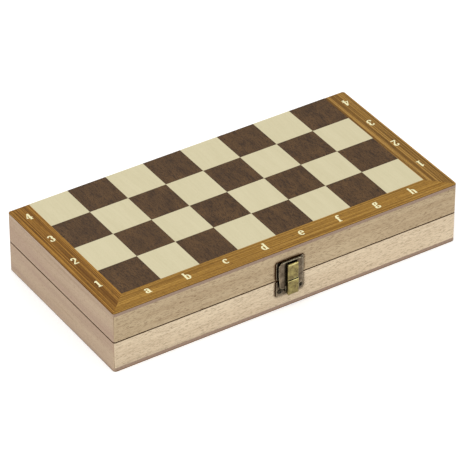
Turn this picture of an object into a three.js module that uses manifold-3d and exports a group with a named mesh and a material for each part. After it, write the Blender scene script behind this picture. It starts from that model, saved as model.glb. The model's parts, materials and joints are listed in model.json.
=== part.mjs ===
// A folding wooden chess case: two shallow trays that are hinged at the back and held by a draw
// catch at the front. The closed case shows half of the board on each outer face, and the
// thirty-two chessmen lie inside the lower tray. Millimetres, +Z up, the front faces -Y.
// The origin is the middle of the lower board face.
import * as THREE from "three";
import { mergeVertices } from "three/addons/utils/BufferGeometryUtils.js";
import Module from "manifold-3d";

const wasm = await Module();
wasm.setup();

// Driving dimensions of the case.
const square = 33;
const border = 18;
const files = 8;
const ranks = 4; // on each half
const caseLength = files * square + 2 * border;
const caseDepth = ranks * square + border;
const caseHeight = 52;
const partingGap = 0.5;
const railThickness = 8;
const cornerRadius = 2;
const veneerThickness = 0.6;
const plyThickness = 2.6;
const skin = veneerThickness + plyThickness;
const halfHeight = (caseHeight - partingGap) / 2;
const railHeight = halfHeight - skin;
const partingHeight = caseHeight / 2;

// Butt hinges, let into the back rails, with the pin just behind the back face.
const hingeSpots = [-95, 95];
const pinBehind = 0.15;
const hinge = {
  length: 30,
  leafWidth: 7.2,
  leafThickness: 0.9,
  leafOffset: 0.15, // from the pin's plane to the leaf
  barrelRadius: 2,
  boreRadius: 1,
  pinRadius: 0.75,
  knuckle: 10,
  knuckleGap: 0.4,
  nailHoleRadius: 0.9,
  nailSpots: [-9, 9],
};
const mortiseGap = 0.2;

// Draw catch. Heights are above the case's foot, and "out" is the distance in front of the rails.
const sheet = 0.8;
const plateGap = 0.1;
const plateOut = plateGap + sheet;
const catchWidth = 24;
const basePlate = { low: 12, high: 25.2 };
const catchPlate = { low: 27, high: 41.8 };
const lever = { low: 14.1, high: 26.4, halfWidth: 4.7, out: 6, nose: 1 };
const leverPivot = { up: 24.4, out: 3.7, pin: 0.7, bore: 1, ear: 1.2 };
const strapPivot = { up: 17.9, out: 2.8, pin: 0.55, bore: 0.8, ear: 1.45 };
const strap = { high: 42.4, halfWidth: 10.6, inner: 2.2, legLow: 19.4, crossbar: 1.2 };
const hood = { low: 27.3, high: 40.8, out: 5.6 };
const legInside = 5.1;
const baseScrews = { x: 9, up: 16 };
const catchScrews = { x: 8.5, up: 33 };
const screw = { headRadius: 1.9, headHeight: 0.8, shankRadius: 0.8, length: 6, holeRadius: 1.15 };

// Chessmen: height, radius of the foot, of the stem and of the collar, and the collar's height.
const men = {
  king: { height: 63, foot: 12, stem: 5, collar: 8, collarAt: 0.58 },
  queen: { height: 57, foot: 11.5, stem: 4.8, collar: 7.6, collarAt: 0.58 },
  bishop: { height: 47, foot: 10.5, stem: 4, collar: 6.6, collarAt: 0.55 },
  knight: { height: 45, foot: 10.5, stem: 7.6, collar: 8.4, collarAt: 0.2 },
  rook: { height: 36, foot: 10.5, stem: 5.6, collar: 7.8, collarAt: 0.6 },
  pawn: { height: 31.5, foot: 9, stem: 3.6, collar: 6, collarAt: 0.56 },
};
const footHeight = 0.08; // of the man's height
const headThickness = 9; // of the knight's carved head
const latheSides = 10;
const curveSteps = 2;
const floorGap = 0.3;
const manGap = 0.7;

const finish = (color, roughness, metalness = 0) =>
  new THREE.MeshStandardMaterial({ color, roughness, metalness });
const beech = finish(0xc9ad8d, 0.55);
const plywood = finish(0x8d7565, 0.65);
const boardVeneer = finish(0xa9743a, 0.45);
const oldBrass = finish(0x9b8c58, 0.35, 0.9);
const hingeBrass = finish(0xb99a4e, 0.35, 0.9);
const lightMan = finish(0xdcc393, 0.4);
const darkMan = finish(0x4a2f20, 0.4);

// ---- Helpers -----------------------------------------------------------------------------

function solidOf(geometry) {
  const bare = geometry.clone();
  bare.deleteAttribute("normal");
  bare.deleteAttribute("uv");
  const merged = mergeVertices(bare, 1e-4);
  return new wasm.Manifold(
    new wasm.Mesh({
      numProp: 3,
      vertProperties: merged.attributes.position.array,
      triVerts: new Uint32Array(merged.index.array),
    }),
  );
}

function geometryOf(solid) {
  const mesh = solid.getMesh();
  return new THREE.BufferGeometry()
    .setAttribute("position", new THREE.BufferAttribute(mesh.vertProperties, 3))
    .setIndex(new THREE.BufferAttribute(mesh.triVerts, 1));
}

function join(...geometries) {
  return geometryOf(geometries.map(solidOf).reduce((a, b) => a.add(b)));
}

function cut(body, ...tools) {
  return geometryOf(tools.map(solidOf).reduce((a, b) => a.subtract(b), solidOf(body)));
}

function block(x, y, z) {
  return new THREE.BoxGeometry(x[1] - x[0], y[1] - y[0], z[1] - z[0]).translate(
    (x[0] + x[1]) / 2,
    (y[0] + y[1]) / 2,
    (z[0] + z[1]) / 2,
  );
}

// A round bar along X, centred on (y, z).
function bar(radius, x, y, z, sides = 16) {
  return new THREE.CylinderGeometry(radius, radius, x[1] - x[0], sides)
    .rotateZ(Math.PI / 2)
    .translate((x[0] + x[1]) / 2, y, z);
}

// A round bar along Z, centred on (x, y).
function post(radius, z, x, y, sides = 12) {
  return new THREE.CylinderGeometry(radius, radius, z[1] - z[0], sides)
    .rotateX(Math.PI / 2)
    .translate(x, y, (z[0] + z[1]) / 2);
}

function extrude(shape, depth, curveSegments = 4) {
  return new THREE.ExtrudeGeometry(shape, { depth, curveSegments, bevelEnabled: false });
}

function roundedRectangle(halfX, halfY, radius) {
  const shape = new THREE.Shape();
  shape.absarc(halfX - radius, halfY - radius, radius, 0, Math.PI / 2);
  shape.absarc(radius - halfX, halfY - radius, radius, Math.PI / 2, Math.PI);
  shape.absarc(radius - halfX, radius - halfY, radius, Math.PI, 1.5 * Math.PI);
  shape.absarc(halfX - radius, radius - halfY, radius, 1.5 * Math.PI, 2 * Math.PI);
  return shape;
}

function mesh(name, geometry, material) {
  const made = new THREE.Mesh(geometry, material);
  made.name = name;
  return made;
}

function place(object, [x, y, z], [rx, ry, rz] = [0, 0, 0]) {
  object.position.set(x, y, z);
  object.rotation.set(rx, ry, rz);
  return object;
}

// ---- The two trays -----------------------------------------------------------------------

// A rail with mitred ends. Its outer face is y = 0, and its foot, on the plywood, is z = 0.
function railGeometry(length) {
  const half = length / 2;
  const r = cornerRadius;
  const shape = new THREE.Shape();
  shape.absarc(r - half, r, r, 1.25 * Math.PI, 1.5 * Math.PI);
  shape.absarc(half - r, r, r, 1.5 * Math.PI, 1.75 * Math.PI);
  shape.lineTo(half - railThickness, railThickness);
  shape.lineTo(railThickness - half, railThickness);
  return extrude(shape, railHeight, 3);
}

// The back rail is let in for both leaves and barrels at its open edge.
function backRailGeometry() {
  const pinZ = partingHeight - skin;
  const tools = hingeSpots.flatMap((spot) => {
    const half = hinge.length / 2 + mortiseGap;
    const span = [spot - half, spot + half];
    const leafFoot = pinZ - hinge.leafOffset - hinge.leafThickness - mortiseGap;
    return [
      block(span, [-1, hinge.leafWidth + mortiseGap], [leafFoot, railHeight + 1]),
      bar(hinge.barrelRadius + mortiseGap, span, -pinBehind, pinZ, 24),
    ];
  });
  return cut(railGeometry(caseLength), ...tools);
}

// The front rail has a pilot hole for each screw of the catch plate that it carries.
function frontRailGeometry(screws) {
  const depth = screw.length + 1;
  const holes = [-screws.x, screws.x].map((x) =>
    new THREE.CylinderGeometry(screw.holeRadius, screw.holeRadius, 2 * depth, 12)
      .translate(x, 0, screws.up - skin),
  );
  return cut(railGeometry(caseLength), ...holes);
}

// One tray, standing on its board face. The upper tray is the same one, turned over.
function tray(prefix, sides, screws) {
  const group = new THREE.Group();
  const halfX = caseLength / 2;
  const halfY = caseDepth / 2;
  const sheetShape = roundedRectangle(halfX, halfY, cornerRadius);
  const veneer = mesh(`${prefix}_board_veneer`, extrude(sheetShape, veneerThickness), boardVeneer);
  const ply = mesh(`${prefix}_plywood_panel`, extrude(sheetShape, plyThickness), plywood);
  const front = mesh(`${prefix}_front_rail`, frontRailGeometry(screws), beech);
  const back = mesh(`${prefix}_back_rail`, backRailGeometry(), beech);
  const endRail = railGeometry(caseDepth);
  const minusX = mesh(`${prefix}_${sides[0]}_rail`, endRail, beech);
  const plusX = mesh(`${prefix}_${sides[1]}_rail`, endRail.clone(), beech);
  group.add(
    veneer,
    place(ply, [0, 0, veneerThickness]),
    place(front, [0, -halfY, skin]),
    place(back, [0, halfY, skin], [0, 0, Math.PI]),
    place(minusX, [-halfX, 0, skin], [0, 0, -Math.PI / 2]),
    place(plusX, [halfX, 0, skin], [0, 0, Math.PI / 2]),
  );
  return group;
}

// ---- Hinges ------------------------------------------------------------------------------

// The leaf lies below the pin, which runs along X through the origin, and reaches to -Y.
function leafGeometry(ownKnuckles, otherKnuckles) {
  const half = hinge.length / 2;
  const top = -hinge.leafOffset;
  const wall = (hinge.barrelRadius + hinge.boreRadius) / 2;
  const plate = block(
    [-half, half],
    [-hinge.leafWidth, -wall],
    [top - hinge.leafThickness, top],
  );
  const rings = ownKnuckles.map((span) => bar(hinge.barrelRadius, span, 0, 0));
  const clearances = otherKnuckles.map(([from, to]) =>
    bar(hinge.barrelRadius + hinge.knuckleGap, [from - hinge.knuckleGap, to + hinge.knuckleGap], 0, 0),
  );
  const bore = bar(hinge.boreRadius, [-half - 1, half + 1], 0, 0);
  const nailHoles = hinge.nailSpots.map((x) =>
    post(hinge.nailHoleRadius, [-hinge.barrelRadius, hinge.barrelRadius], x, -hinge.leafWidth / 2 - 1),
  );
  return cut(join(cut(plate, ...clearances), ...rings), bore, ...nailHoles);
}

function hingeSet(side, x) {
  const half = hinge.length / 2;
  const middle = hinge.knuckle / 2;
  const inner = [[-middle, middle]];
  const outer = [
    [-half, -middle - hinge.knuckleGap],
    [middle + hinge.knuckleGap, half],
  ];
  const group = new THREE.Group();
  group.add(
    mesh(`${side}_hinge_lower_leaf`, leafGeometry(outer, inner), hingeBrass),
    place(
      mesh(`${side}_hinge_upper_leaf`, leafGeometry(inner, outer), hingeBrass),
      [0, 0, 0],
      [0, Math.PI, 0],
    ),
    mesh(`${side}_hinge_pin`, bar(hinge.pinRadius, [-half, half], 0, 0, 12), hingeBrass),
  );
  return place(group, [x, caseDepth / 2 + pinBehind, partingHeight]);
}

// ---- Draw catch --------------------------------------------------------------------------
// Drawn in its own frame: x across, y up, z out of the front face.

function flatPlate(low, high) {
  const halfHigh = (high - low) / 2;
  const shape = roundedRectangle(catchWidth / 2, halfHigh, 1);
  return extrude(shape, sheet, 3).translate(0, low + halfHigh, plateGap);
}

function screwHoles(spots, radius) {
  return [-spots.x, spots.x].map((x) => post(radius, [-1, 3], x, spots.up));
}

// An outline in the (up, out) plane, given as a list of points, made as thick as the span of x.
function sideWall(points, x) {
  const shape = new THREE.Shape(points.map(([up, out]) => new THREE.Vector2(-out, up)));
  return extrude(shape, x[1] - x[0]).rotateY(Math.PI / 2).translate(x[0], 0, 0);
}

// A vertical ear with a round end about a pivot, rooted on a plate at the height "from".
function ear(pivot, x, from) {
  const foot = block(x, [pivot.up - pivot.ear, pivot.up + pivot.ear], [from, pivot.out]);
  return join(foot, bar(pivot.ear, x, pivot.up, pivot.out));
}

function basePlateGeometry() {
  const earSpans = [
    [-3.5, -2.7],
    [2.7, 3.5],
  ];
  const ears = earSpans.map((span) => ear(leverPivot, span, plateGap + sheet / 2));
  const cap = block([-4, 4], [basePlate.high, basePlate.high + 2], [-1, plateOut + 0.4]);
  return cut(
    join(flatPlate(basePlate.low, basePlate.high), ...ears),
    cap,
    bar(leverPivot.pin + 0.1, [-4, 4], leverPivot.up, leverPivot.out),
    ...screwHoles(baseScrews, screw.holeRadius),
  );
}

// The catch plate's lip stands inside the strap's hood, just behind the crossbar.
function catchPlateGeometry() {
  const lip = block([-3.3, 3.3], [38, 39.6], [plateGap + sheet / 2, strap.inner - 0.3]);
  return cut(
    join(flatPlate(catchPlate.low, catchPlate.high), lip),
    ...screwHoles(catchScrews, screw.holeRadius),
  );
}

// A folded channel: a front web and two side walls, cut away behind the finger end.
function leverGeometry() {
  const { low, high, halfWidth, out, nose } = lever;
  const top = high - nose;
  const front = out - nose;
  const arc = [0, 1, 2, 3].map((step) => {
    const angle = (step * Math.PI) / 6;
    return [top + nose * Math.sin(angle), front + nose * Math.cos(angle)];
  });
  const outline = [
    [low, out],
    ...arc,
    [high, 3],
    [25.6, 2.2],
    [22, 2.2],
    [20.4, 1.3],
    [16.6, 1.3],
    [low, out - sheet],
  ];
  const wall = halfWidth - sheet;
  return cut(
    sideWall(outline, [-halfWidth, halfWidth]),
    block([-wall, wall], [low - 1, high + 1], [0, out - sheet]),
    bar(leverPivot.bore, [-6, 6], leverPivot.up, leverPivot.out),
    bar(strapPivot.pin + 0.1, [-6, 6], strapPivot.up, strapPivot.out),
  );
}

// The strap: a plate with two legs beside the lever, a crossbar, and a hood over the catch's lip.
function strapGeometry() {
  const { high, halfWidth, inner, legLow, crossbar } = strap;
  const shoulder = 4;
  const foot = 2.5;
  const shape = new THREE.Shape();
  shape.moveTo(-legInside, hood.low);
  shape.lineTo(-legInside, legLow - 1);
  shape.absarc(-halfWidth + foot + 0.7, legLow + foot, foot, 1.5 * Math.PI, Math.PI, true);
  shape.lineTo(-halfWidth, 31);
  shape.absarc(shoulder - halfWidth, high - shoulder, shoulder, Math.PI, Math.PI / 2, true);
  shape.absarc(halfWidth - shoulder, high - shoulder, shoulder, Math.PI / 2, 0, true);
  shape.lineTo(halfWidth, 31);
  shape.absarc(halfWidth - foot - 0.7, legLow + foot, foot, 0, -Math.PI / 2, true);
  shape.lineTo(legInside, legLow - 1);
  shape.lineTo(legInside, hood.low);
  const plate = extrude(shape, sheet, 4).translate(0, 0, inner);
  const wall = lever.halfWidth - sheet;
  const hoodBlock = block(
    [-lever.halfWidth, lever.halfWidth],
    [hood.low, hood.high],
    [inner, hood.out],
  );
  const hollow = block([-wall, wall], [hood.low - 1, high - crossbar], [0, hood.out - sheet]);
  const legSpans = [
    [-legInside - sheet, -legInside],
    [legInside, legInside + sheet],
  ];
  const eyes = legSpans.map((span) =>
    join(
      bar(strapPivot.ear, span, strapPivot.up, strapPivot.out),
      block(span, [strapPivot.up, 22], [inner, strapPivot.out + strapPivot.ear]),
    ),
  );
  return cut(
    join(cut(join(plate, hoodBlock), hollow), ...eyes),
    bar(strapPivot.bore, [-7, 7], strapPivot.up, strapPivot.out),
  );
}

// A domed wood screw with a cross recess. Its axis is z, and the head's foot is z = 0.
function screwGeometry() {
  const { headRadius, headHeight, shankRadius, length } = screw;
  const outline = [
    [0, -length],
    [shankRadius, 1.5 - length],
    [shankRadius, 0],
    [headRadius, 0],
    [headRadius, 0.35 * headHeight],
    [0.6 * headRadius, 0.9 * headHeight],
    [0, headHeight],
  ];
  const points = outline.map(([r, z]) => new THREE.Vector2(r, z));
  const body = new THREE.LatheGeometry(points, 12).rotateX(Math.PI / 2);
  const recess = 0.25;
  const reach = 0.62 * headRadius;
  const depth = [0.4 * headHeight, 2 * headHeight];
  return cut(
    body,
    block([-reach, reach], [-recess, recess], depth),
    block([-recess, recess], [-reach, reach], depth),
  );
}

function drawCatch() {
  const group = new THREE.Group();
  const pinSpan = lever.halfWidth + 0.1;
  const rivetSpan = legInside + sheet + 0.3;
  group.add(
    mesh("catch_base_plate", basePlateGeometry(), oldBrass),
    mesh("catch_strike_plate", catchPlateGeometry(), oldBrass),
    mesh("catch_lever", leverGeometry(), oldBrass),
    mesh("catch_strap", strapGeometry(), oldBrass),
    mesh(
      "catch_lever_pin",
      bar(leverPivot.pin, [-pinSpan, pinSpan], leverPivot.up, leverPivot.out, 12),
      oldBrass,
    ),
    mesh(
      "catch_strap_pin",
      bar(strapPivot.pin, [-rivetSpan, rivetSpan], strapPivot.up, strapPivot.out, 12),
      oldBrass,
    ),
  );
  const spots = [
    ["base_screw_left", -baseScrews.x, baseScrews.up],
    ["base_screw_right", baseScrews.x, baseScrews.up],
    ["strike_screw_left", -catchScrews.x, catchScrews.up],
    ["strike_screw_right", catchScrews.x, catchScrews.up],
  ];
  for (const [name, x, up] of spots) {
    group.add(place(mesh(name, screwGeometry(), oldBrass), [x, up, plateOut + plateGap]));
  }
  return place(group, [0, -caseDepth / 2, 0], [Math.PI / 2, 0, 0]);
}

// ---- Chessmen ----------------------------------------------------------------------------

// The turned outline of one man up to its collar, which all kinds share.
function turnedFoot(man) {
  const { height, foot, stem, collar, collarAt } = man;
  const path = new THREE.Path();
  const collarZ = collarAt * height;
  path.moveTo(0, 0);
  path.lineTo(foot, 0);
  path.lineTo(foot, footHeight * height);
  path.quadraticCurveTo(0.98 * foot, 0.14 * height, 0.72 * foot, 0.16 * height);
  if (collarAt > 0.3) {
    path.quadraticCurveTo(1.1 * stem, 0.26 * height, stem, collarZ);
  }
  path.lineTo(collar, collarZ + 0.02 * height);
  path.lineTo(collar, collarZ + 0.05 * height);
  return path;
}

// What stands above the collar, as the rest of the turned outline.
const heads = {
  pawn(path, { height, stem }) {
    const ball = 0.18 * height;
    path.lineTo(1.05 * stem, 0.64 * height);
    path.absarc(0, height - ball, ball, -Math.PI / 3, Math.PI / 2);
  },
  bishop(path, { height, stem }) {
    path.lineTo(0.9 * stem, 0.64 * height);
    path.quadraticCurveTo(1.9 * stem, 0.76 * height, 0.35 * stem, 0.93 * height);
    path.absarc(0, height - 2, 2, -Math.PI / 4, Math.PI / 2);
  },
  queen(path, { height, stem, collar }) {
    path.lineTo(stem, 0.65 * height);
    path.quadraticCurveTo(1.1 * stem, 0.8 * height, collar, 0.9 * height);
    path.lineTo(0.55 * collar, 0.93 * height);
    path.absarc(0, height - 2.4, 2.4, 0, Math.PI / 2);
  },
  king(path, { height, stem, collar }) {
    path.lineTo(stem, 0.65 * height);
    path.quadraticCurveTo(1.1 * stem, 0.76 * height, collar, 0.84 * height);
    path.lineTo(0.8 * collar, 0.87 * height);
    path.lineTo(0, 0.9 * height);
  },
  rook(path, { height, stem, collar }) {
    path.lineTo(1.05 * stem, 0.68 * height);
    path.lineTo(collar, 0.78 * height);
    path.lineTo(collar, height);
    path.lineTo(0.68 * collar, height);
    path.lineTo(0.68 * collar, 0.88 * height);
    path.lineTo(0, 0.88 * height);
  },
  knight(path, { height }) {
    path.lineTo(0, 0.26 * height);
  },
};

function turnedOutline(kind) {
  const path = turnedFoot(men[kind]);
  heads[kind](path, men[kind]);
  const points = path.getPoints(curveSteps);
  points[points.length - 1].x = 0;
  return points;
}

// A horse's head in profile, cut from a board and standing on the knight's collar.
function horseHead({ height, collar }) {
  const w = collar;
  const shape = new THREE.Shape();
  shape.moveTo(-0.75 * w, 0.24 * height);
  shape.lineTo(0.8 * w, 0.24 * height);
  shape.quadraticCurveTo(0.95 * w, 0.42 * height, 0.3 * w, 0.56 * height);
  shape.lineTo(0.95 * w, 0.58 * height);
  shape.lineTo(1.1 * w, 0.7 * height);
  shape.lineTo(0.35 * w, 0.9 * height);
  shape.lineTo(0.1 * w, height);
  shape.lineTo(-0.2 * w, 0.92 * height);
  shape.quadraticCurveTo(-1.2 * w, 0.7 * height, -0.75 * w, 0.24 * height);
  return extrude(shape, headThickness, 3).translate(0, 0, -headThickness / 2).rotateX(Math.PI / 2);
}

function crossFinial({ height }) {
  const arm = 3.2;
  const half = 1.1;
  return join(
    block([-half, half], [-half, half], [0.88 * height, height]),
    block([-arm, arm], [-half, half], [0.93 * height, 0.965 * height]),
  );
}

function manGeometry(kind) {
  const body = new THREE.LatheGeometry(turnedOutline(kind), latheSides).rotateX(Math.PI / 2);
  if (kind === "knight") return join(body, horseHead(men.knight));
  if (kind === "king") return join(body, crossFinial(men.king));
  return body;
}

// The men lie in columns across the tray, one behind the other, foot first. "L" is light and
// "D" is dark. A column is as wide as its widest foot.
const columns = [
  ["king L", "queen L"],
  ["queen D", "king D"],
  ["knight L", "knight L", "rook L"],
  ["rook D", "knight D", "knight D"],
  ["bishop L", "rook L", "rook D"],
  ["bishop L", "bishop D", "pawn L"],
  ["bishop D", "pawn D", "pawn D"],
  ["pawn L", "pawn L", "pawn L", "pawn L"],
  ["pawn D", "pawn D", "pawn D", "pawn D"],
  ["pawn L", "pawn L", "pawn L"],
  ["pawn D", "pawn D"],
];

// A man lies with its axis along Y, tipped so that its foot and its widest upper turn both touch
// the floor. It starts at startY, and "towards" is 1 where its head points to the back.
function lyingMan(name, kind, material, x, startY, towards) {
  const { height, foot } = men[kind];
  const upper = turnedOutline(kind).filter((point) => point.y > 0.3 * height);
  if (kind === "knight") upper.push(new THREE.Vector2(headThickness / 2, 0.9 * height));
  const slopes = upper.map((point) => (foot - point.x) / (point.y - footHeight * height));
  const tip = Math.atan(Math.min(...slopes));
  const body = mesh(name, manGeometry(kind), material);
  body.rotation.z = kind === "knight" ? 0 : Math.PI / latheSides;
  const tipped = new THREE.Group();
  tipped.add(body);
  tipped.rotation.x = -Math.PI / 2 - tip;
  const turned = new THREE.Group();
  turned.add(tipped);
  turned.rotation.z = towards > 0 ? 0 : Math.PI;
  turned.updateMatrixWorld(true);
  const box = new THREE.Box3().setFromObject(turned, true);
  const nearY = towards > 0 ? box.min.y : box.max.y;
  turned.position.set(x, startY - nearY, skin + floorGap - box.min.z);
  return { man: turned, length: box.max.y - box.min.y };
}

function storedMen() {
  const group = new THREE.Group();
  const counts = {};
  const insideX = caseLength / 2 - railThickness;
  const insideY = caseDepth / 2 - railThickness;
  let left = manGap - insideX;
  columns.forEach((column, index) => {
    const entries = column.map((entry) => entry.split(" "));
    const radius = Math.max(...entries.map(([kind]) => men[kind].foot));
    const towards = index % 2 ? 1 : -1;
    let y = -towards * (insideY - manGap);
    for (const [kind, letter] of entries) {
      const key = `${letter === "L" ? "light" : "dark"}_${kind}`;
      counts[key] = (counts[key] || 0) + 1;
      const name = kind === "king" || kind === "queen" ? key : `${key}_${counts[key]}`;
      const material = letter === "L" ? lightMan : darkMan;
      const { man, length } = lyingMan(name, kind, material, left + radius, y, towards);
      group.add(man);
      y += towards * (length + manGap);
    }
    left += 2 * radius + manGap;
  });
  return group;
}

// ---- The whole object --------------------------------------------------------------------

const chessCase = new THREE.Group();
const upperScrews = { x: catchScrews.x, up: caseHeight - catchScrews.up };
chessCase.add(
  tray("lower", ["left", "right"], baseScrews),
  place(tray("upper", ["right", "left"], upperScrews), [0, 0, caseHeight], [0, Math.PI, 0]),
  hingeSet("left", hingeSpots[0]),
  hingeSet("right", hingeSpots[1]),
  drawCatch(),
  storedMen(),
);

export default chessCase;
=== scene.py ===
import json
import math
import random

import bmesh
import bpy
from mathutils import Matrix, Vector
from mathutils.geometry import delaunay_2d_cdt

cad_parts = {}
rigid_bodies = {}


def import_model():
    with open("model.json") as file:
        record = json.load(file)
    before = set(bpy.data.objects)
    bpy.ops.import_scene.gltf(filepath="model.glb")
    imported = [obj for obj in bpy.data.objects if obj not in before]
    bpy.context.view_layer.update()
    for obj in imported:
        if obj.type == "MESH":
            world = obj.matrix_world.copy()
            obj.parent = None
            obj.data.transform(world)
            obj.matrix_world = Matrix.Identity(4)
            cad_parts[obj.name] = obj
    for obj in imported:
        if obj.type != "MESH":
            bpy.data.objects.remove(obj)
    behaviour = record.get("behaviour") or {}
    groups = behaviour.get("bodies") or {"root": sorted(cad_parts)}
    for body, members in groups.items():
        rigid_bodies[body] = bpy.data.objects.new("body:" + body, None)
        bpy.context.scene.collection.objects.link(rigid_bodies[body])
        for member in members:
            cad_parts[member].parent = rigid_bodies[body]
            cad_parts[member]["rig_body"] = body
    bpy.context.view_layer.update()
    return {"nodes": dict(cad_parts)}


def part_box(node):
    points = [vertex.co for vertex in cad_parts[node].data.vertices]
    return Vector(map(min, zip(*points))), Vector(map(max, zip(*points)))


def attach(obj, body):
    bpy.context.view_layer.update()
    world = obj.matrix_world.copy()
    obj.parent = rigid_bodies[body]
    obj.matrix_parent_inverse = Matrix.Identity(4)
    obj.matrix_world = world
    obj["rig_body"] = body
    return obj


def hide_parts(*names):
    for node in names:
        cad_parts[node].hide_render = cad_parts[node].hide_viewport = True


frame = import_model()
mm = 0.001
touch = 0.01 * mm  # places nearer than this are the same place
random.seed(8)


def finishMesh(bm, name, smoothBelow=35):
    bmesh.ops.recalc_face_normals(bm, faces=bm.faces)
    mesh = bpy.data.meshes.new(name)
    bm.to_mesh(mesh)
    bm.free()
    mesh.polygons.foreach_set("use_smooth", [True] * len(mesh.polygons))
    mesh.set_sharp_from_angle(angle=math.radians(smoothBelow))
    mesh.update()
    return mesh


def makePiece(name, mesh, material, body, stands=(), matrix=None):
    if matrix is not None:
        mesh.transform(matrix)
    piece = bpy.data.objects.new(name, mesh)
    bpy.context.scene.collection.objects.link(piece)
    mesh.materials.clear()
    mesh.materials.append(material)
    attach(piece, body)
    if stands:
        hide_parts(*stands)
    return piece


def setGrain(mesh, rule):
    # rule(vertex) gives the vertex's place in the wood: x along the grain, in metres
    layer = mesh.attributes.new("grain", "FLOAT_VECTOR", "POINT")
    for vertex, entry in zip(mesh.vertices, layer.data):
        entry.vector = rule(vertex)


def boardOffset():
    return Vector([random.uniform(0, 5) for _ in range(3)])


def alongAxis(axis, offset):
    order = {"X": (0, 1, 2), "Y": (1, 0, 2), "Z": (2, 0, 1)}[axis]
    return lambda vertex: Vector([vertex.co[i] for i in order]) + offset


def prism(bm, outline, low, high):
    bottom = [bm.verts.new((x, y, low)) for x, y in outline]
    top = [bm.verts.new((x, y, high)) for x, y in outline]
    bm.faces.new(top)
    bm.faces.new(list(reversed(bottom)))
    for i in range(len(outline)):
        j = (i + 1) % len(outline)
        bm.faces.new((bottom[i], bottom[j], top[j], top[i]))
    return bottom, top


def lathe(bm, points, angles=None, shape=None, steps=40):
    # points are (radius, height), first and last on the axis
    angles = angles or [2 * math.pi * i / steps for i in range(steps)]
    rings = []
    for r, z in points:
        if r < 1e-9:
            rings.append([bm.verts.new((0, 0, z))])
            continue
        ring = []
        for a in angles:
            radius, height = shape(r, z, a) if shape else (r, z)
            ring.append(bm.verts.new((radius * math.cos(a), radius * math.sin(a), height)))
        rings.append(ring)
    count = len(angles)
    for lower, upper in zip(rings, rings[1:]):
        for i in range(count):
            j = (i + 1) % count
            corners = [lower[i % len(lower)], lower[j % len(lower)]]
            corners += [upper[j % len(upper)], upper[i % len(upper)]]
            corners = list(dict.fromkeys(corners))
            if len(corners) > 2:
                bm.faces.new(corners)


def easedCopy(node, radius, segments=2, wanted=None, turn=25):
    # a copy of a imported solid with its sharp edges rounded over
    bm = bmesh.new()
    bm.from_mesh(frame["nodes"][node].data)
    bmesh.ops.remove_doubles(bm, verts=bm.verts, dist=1e-6)
    bmesh.ops.dissolve_limit(bm, angle_limit=math.radians(1), verts=bm.verts, edges=bm.edges)
    bm.normal_update()
    edges = [
        e for e in bm.edges
        if len(e.link_faces) == 2
        and e.calc_face_angle(0) > math.radians(turn)
        and (wanted is None or wanted(e))
    ]
    if radius > 0:
        bmesh.ops.bevel(
            bm, geom=edges, offset=radius, segments=segments, profile=0.5,
            affect="EDGES", clamp_overlap=True,
        )
    bm.normal_update()
    bmesh.ops.triangulate(bm, faces=[f for f in bm.faces if len(f.verts) > 4])
    return bm


def weighNormals(piece):
    modifier = piece.modifiers.new("even shading", "WEIGHTED_NORMAL")
    modifier.keep_sharp = True


class Nodes:
    def __init__(self, name):
        self.material = bpy.data.materials.new(name)
        self.material.use_nodes = True
        self.tree = self.material.node_tree
        self.shader = self.tree.nodes["Principled BSDF"]

    def add(self, kind, **values):
        node = self.tree.nodes.new(kind)
        for key, value in values.items():
            setattr(node, key, value)
        return node

    def link(self, source, target):
        self.tree.links.new(source, target)

    def noise(self, vector, scale, detail=4, rough=0.5, distortion=0.0):
        mapping = self.add("ShaderNodeMapping")
        mapping.inputs["Scale"].default_value = scale
        self.link(vector, mapping.inputs["Vector"])
        noise = self.add("ShaderNodeTexNoise")
        noise.inputs["Scale"].default_value = 1
        noise.inputs["Detail"].default_value = detail
        noise.inputs["Roughness"].default_value = rough
        noise.inputs["Distortion"].default_value = distortion
        self.link(mapping.outputs["Vector"], noise.inputs["Vector"])
        return noise.outputs["Fac"]

    def ramp(self, value, low, high):
        node = self.add("ShaderNodeMapRange")
        node.inputs["From Min"].default_value = low
        node.inputs["From Max"].default_value = high
        self.link(value, node.inputs["Value"])
        return node.outputs["Result"]

    def math(self, operation, a, b):
        node = self.add("ShaderNodeMath", operation=operation)
        for value, socket in ((a, node.inputs[0]), (b, node.inputs[1])):
            if isinstance(value, (int, float)):
                socket.default_value = value
            else:
                self.link(value, socket)
        return node.outputs[0]

    def mix(self, factor, a, b):
        node = self.add("ShaderNodeMix", data_type="RGBA")
        for value, socket in ((factor, node.inputs[0]), (a, node.inputs[6]), (b, node.inputs[7])):
            if isinstance(value, (int, float)):
                socket.default_value = value
            elif isinstance(value, tuple):
                socket.default_value = (*value, 1)
            else:
                self.link(value, socket)
        return node.outputs[2]

    def bump(self, height, strength, distance):
        node = self.add("ShaderNodeBump")
        node.inputs["Strength"].default_value = strength
        node.inputs["Distance"].default_value = distance
        self.link(height, node.inputs["Height"])
        self.link(node.outputs["Normal"], self.shader.inputs["Normal"])


def srgb(r, g, b):
    def one(c):
        c /= 255
        return c / 12.92 if c <= 0.04045 else ((c + 0.055) / 1.055) ** 2.4
    return (one(r), one(g), one(b))


def recessMask(nodes, distance, open, shut):
    # 0 on open surfaces, 1 deep in a gap or corner
    shade = nodes.add("ShaderNodeAmbientOcclusion", samples=8)
    shade.inputs["Distance"].default_value = distance * mm
    return nodes.ramp(shade.outputs["AO"], open, shut)


# painted shade: the beech is darkened brown in the parting gap, at the mitres and around the catch, wherever
# the occlusion mask finds a gap or corner
grime = {"reach": 2.4, "open": 0.985, "shut": 0.84, "colour": srgb(66, 36, 5)}  # reach in mm


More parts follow.
